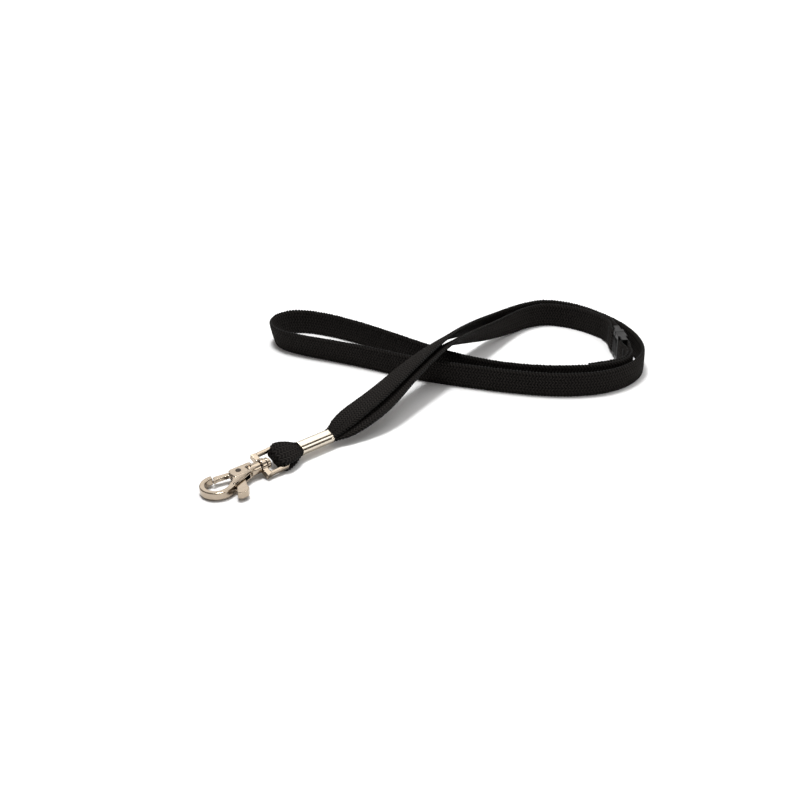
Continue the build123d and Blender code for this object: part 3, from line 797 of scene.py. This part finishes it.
def endTree(tree, geometry, material):
    # Realize, shade and finish a tree.
    real = addNode(tree, "GeometryNodeRealizeInstances", Geometry=geometry)
    soft = addNode(tree, "GeometryNodeSetShadeSmooth", Geometry=real.outputs[0])
    dyed = addNode(tree, "GeometryNodeSetMaterial", Geometry=soft.outputs[0])
    tree.links.new(material, dyed.inputs["Material"])
    addNode(tree, "NodeGroupOutput", Geometry=dyed.outputs[0])


def makeLoopTree():
    # Small yarn loops at an even pitch along each line, none quite like its neighbour.
    tree, given = startTree("yarnLoops", [("Pitch", "NodeSocketFloat"), ("Size", "NodeSocketVector"),
                                          ("Seed", "NodeSocketInt"), ("Yarn", "NodeSocketMaterial")])
    curve = addNode(tree, "GeometryNodeMeshToCurve", Mesh=given.outputs["Geometry"])
    even = addNode(tree, "GeometryNodeResampleCurve", {"mode": "LENGTH"}, Curve=curve.outputs[0],
                   Length=given.outputs["Pitch"])
    ball = addNode(tree, "GeometryNodeMeshUVSphere", {"Segments": 8, "Rings": 5, "Radius": 0.5})
    tangent = addNode(tree, "GeometryNodeInputTangent")
    turn = addNode(tree, "FunctionNodeAlignRotationToVector", {"axis": "X"}, Vector=tangent.outputs[0])
    vary = addNode(tree, "FunctionNodeRandomValue", {2: 0.8, 3: 1.15}, Seed=given.outputs["Seed"])
    scale = addNode(tree, "ShaderNodeVectorMath", {"operation": "SCALE"}, i0=given.outputs["Size"],
                    Scale=vary.outputs[1])
    loops = addNode(tree, "GeometryNodeInstanceOnPoints", Points=even.outputs[0], Instance=ball.outputs[0],
                    Rotation=turn.outputs[0], Scale=scale.outputs[0])
    endTree(tree, loops.outputs[0], given.outputs["Yarn"])
    return tree


def makeStrandTree():
    # A round strand of one radius along each line.
    tree, given = startTree("strandAlong", [("Radius", "NodeSocketFloat"), ("Yarn", "NodeSocketMaterial")])
    curve = addNode(tree, "GeometryNodeMeshToCurve", Mesh=given.outputs["Geometry"])
    ring = addNode(tree, "GeometryNodeCurvePrimitiveCircle", {"Resolution": 8}, Radius=given.outputs["Radius"])
    strand = addNode(tree, "GeometryNodeCurveToMesh", {"Fill Caps": True}, Curve=curve.outputs[0],
                     Profile_Curve=ring.outputs[0])
    endTree(tree, strand.outputs[0], given.outputs["Yarn"])
    return tree


loopTree, strandTree = makeLoopTree(), makeStrandTree()


def grow(name, lines, tree, values):
    # Runs a tree on these lines and keeps the result as a plain mesh.
    piece = lineObject(name, lines)
    modifier = piece.modifiers.new(name, "NODES")
    modifier.node_group = tree
    for item in tree.interface.items_tree:
        if item.in_out == "INPUT" and item.name in values:
            modifier[item.identifier] = values[item.name]
    return settle(piece)


def edgeLines(places, across, widths, inset=0.12):
    # none inside the crimp
    out = (places[:, 0] < fittings["crimpStart"]) | (places[:, 0] > fittings["crimpStart"] + fittings["crimpLength"])
    return [(places + across * (side * (widths / 2 - inset))[:, None])[out] for side in (-1, 1)]


# yarn loops along a selvedge: spacing, and length, depth and thickness of each
selvedge = {"Pitch": 1.3 * mm, "Size": (1.15 * mm, 0.8 * mm, 0.8 * mm), "Yarn": threadMaterial}


def makeSelvedge(name, places, across, widths, seed):
    return grow(name, edgeLines(places, across, widths), loopTree, {**selvedge, "Seed": seed})


selvedgeLong = makeSelvedge("selvedgeLong", longPlaces, longAcross, longWidths, 7)
selvedgeShort = makeSelvedge("selvedgeShort", shortPlaces, shortAcross, shortWidths, 8)
selvedgeFoldSocket = makeSelvedge("selvedgeFoldSocket", socketPlaces, socketAcross, socketWidths, 9)
selvedgeFoldPlug = makeSelvedge("selvedgeFoldPlug", plugPlaces, plugAcross, plugWidths, 10)
selvedgeRingLoop = makeSelvedge("selvedgeRingLoop", loopPlaces, loopAcross, loopWidths, 11)

# length along the strap, half its width across, how many stitches, and the thread's radius
tack = {"run": 1.9, "half": 3.9, "stitches": 15, "radius": 0.17}


def tackLine(places, across, outward, middle, thick, sign):
    # Zigzag thread across a strap's face, its turns sunk into the webbing.
    nearest = int(np.argmin(np.linalg.norm(places - np.array(middle), axis=1)))
    ahead = places[nearest + 2] - places[nearest - 2]
    ahead /= np.linalg.norm(ahead)
    line = []
    turns = 2 * tack["stitches"]
    for k in range(turns * 4 + 1):
        beat = k / 4
        swing = 1 - 2 * abs(beat % 2 - 1)
        lift = thick / 2 + 0.10 - 0.28 * abs(swing) ** 6
        spread = -tack["half"] + 2 * tack["half"] * beat / turns
        line.append(places[nearest] + ahead * swing * tack["run"] / 2 + across[nearest] * spread
                    + outward[nearest] * sign * lift)
    return line


def makeTack(name, tail, strap, tailAt, strapAt, sign):
    lines = [tackLine(*tail, tailAt, webbing["foldThick"], sign), tackLine(*strap, strapAt, webbing["thick"], sign)]
    return grow(name, lines, strandTree, {"Radius": tack["radius"] * mm, "Yarn": threadMaterial})


tackSocket = makeTack("tackSocket", (socketPlaces, socketAcross, socketOut), (longPlaces, longAcross, longOut),
                      claspPoint(11.9, -1.0), claspPoint(11.9, 0.9), -1)
tackPlug = makeTack("tackPlug", (plugPlaces, plugAcross, plugOut), (shortPlaces, shortAcross, shortOut),
                    claspPoint(-10.4, -1.1), claspPoint(-10.4, 1.1), 1)

# upright grip ribs on both faces: where they start and end in height, and their places along the clasp
ribs = {"radius": 0.28, "low": 2.3, "high": 9.7, "socket": (1.1, 2.1, 3.1), "plug": (-0.9, -1.9)}


def ribLines(stations):
    lines = []
    for u in stations:
        for v in (-2.0, 2.0):
            inner = v - math.copysign(0.35, v)
            lines.append([claspPoint(u, inner, ribs["low"] - 0.35), claspPoint(u, v, ribs["low"]),
                          claspPoint(u, v, ribs["high"]), claspPoint(u, inner, ribs["high"] + 0.35)])
    return lines


ribMake = {"Radius": ribs["radius"] * mm, "Yarn": acetalMaterial}
gripSocket = grow("gripSocket", ribLines(ribs["socket"]), strandTree, ribMake)
gripPlug = grow("gripPlug", ribLines(ribs["plug"]), strandTree, ribMake)
place(gripSocket, "root", "clasp_plastic")
place(gripPlug, "plug", "clasp_plastic")
place(tackSocket, "root", "thread", "bar_tack_socket")
place(selvedgeLong, "root", "webbing")
place(selvedgeFoldSocket, "root", "webbing")
place(selvedgeRingLoop, "root", "webbing")
print("selvedges, tacks and ribs grown")

# ride, finish

place(strapLong, "root", "webbing", "strap_upper_strand", "strap_right_outer", "strap_left_loop",
      "strap_right_inner")
place(foldSocket, "root", "webbing", "strap_fold_socket", "strap_socket_bend")

# the plug's end of the short strap gives as the clasp is pulled apart; here its pieces only have their placing baked
# into their meshes
for piece in (strapShort, foldPlug, selvedgeShort, selvedgeFoldPlug, tackPlug):
    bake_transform(piece)
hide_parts("bar_tack_plug")
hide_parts("strap_lower_strand", "strap_inner_back", "strap_plug_bend")
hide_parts("strap_fold_plug")

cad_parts["trigger_spring"].data.materials.clear()
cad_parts["trigger_spring"].data.materials.append(springWire)
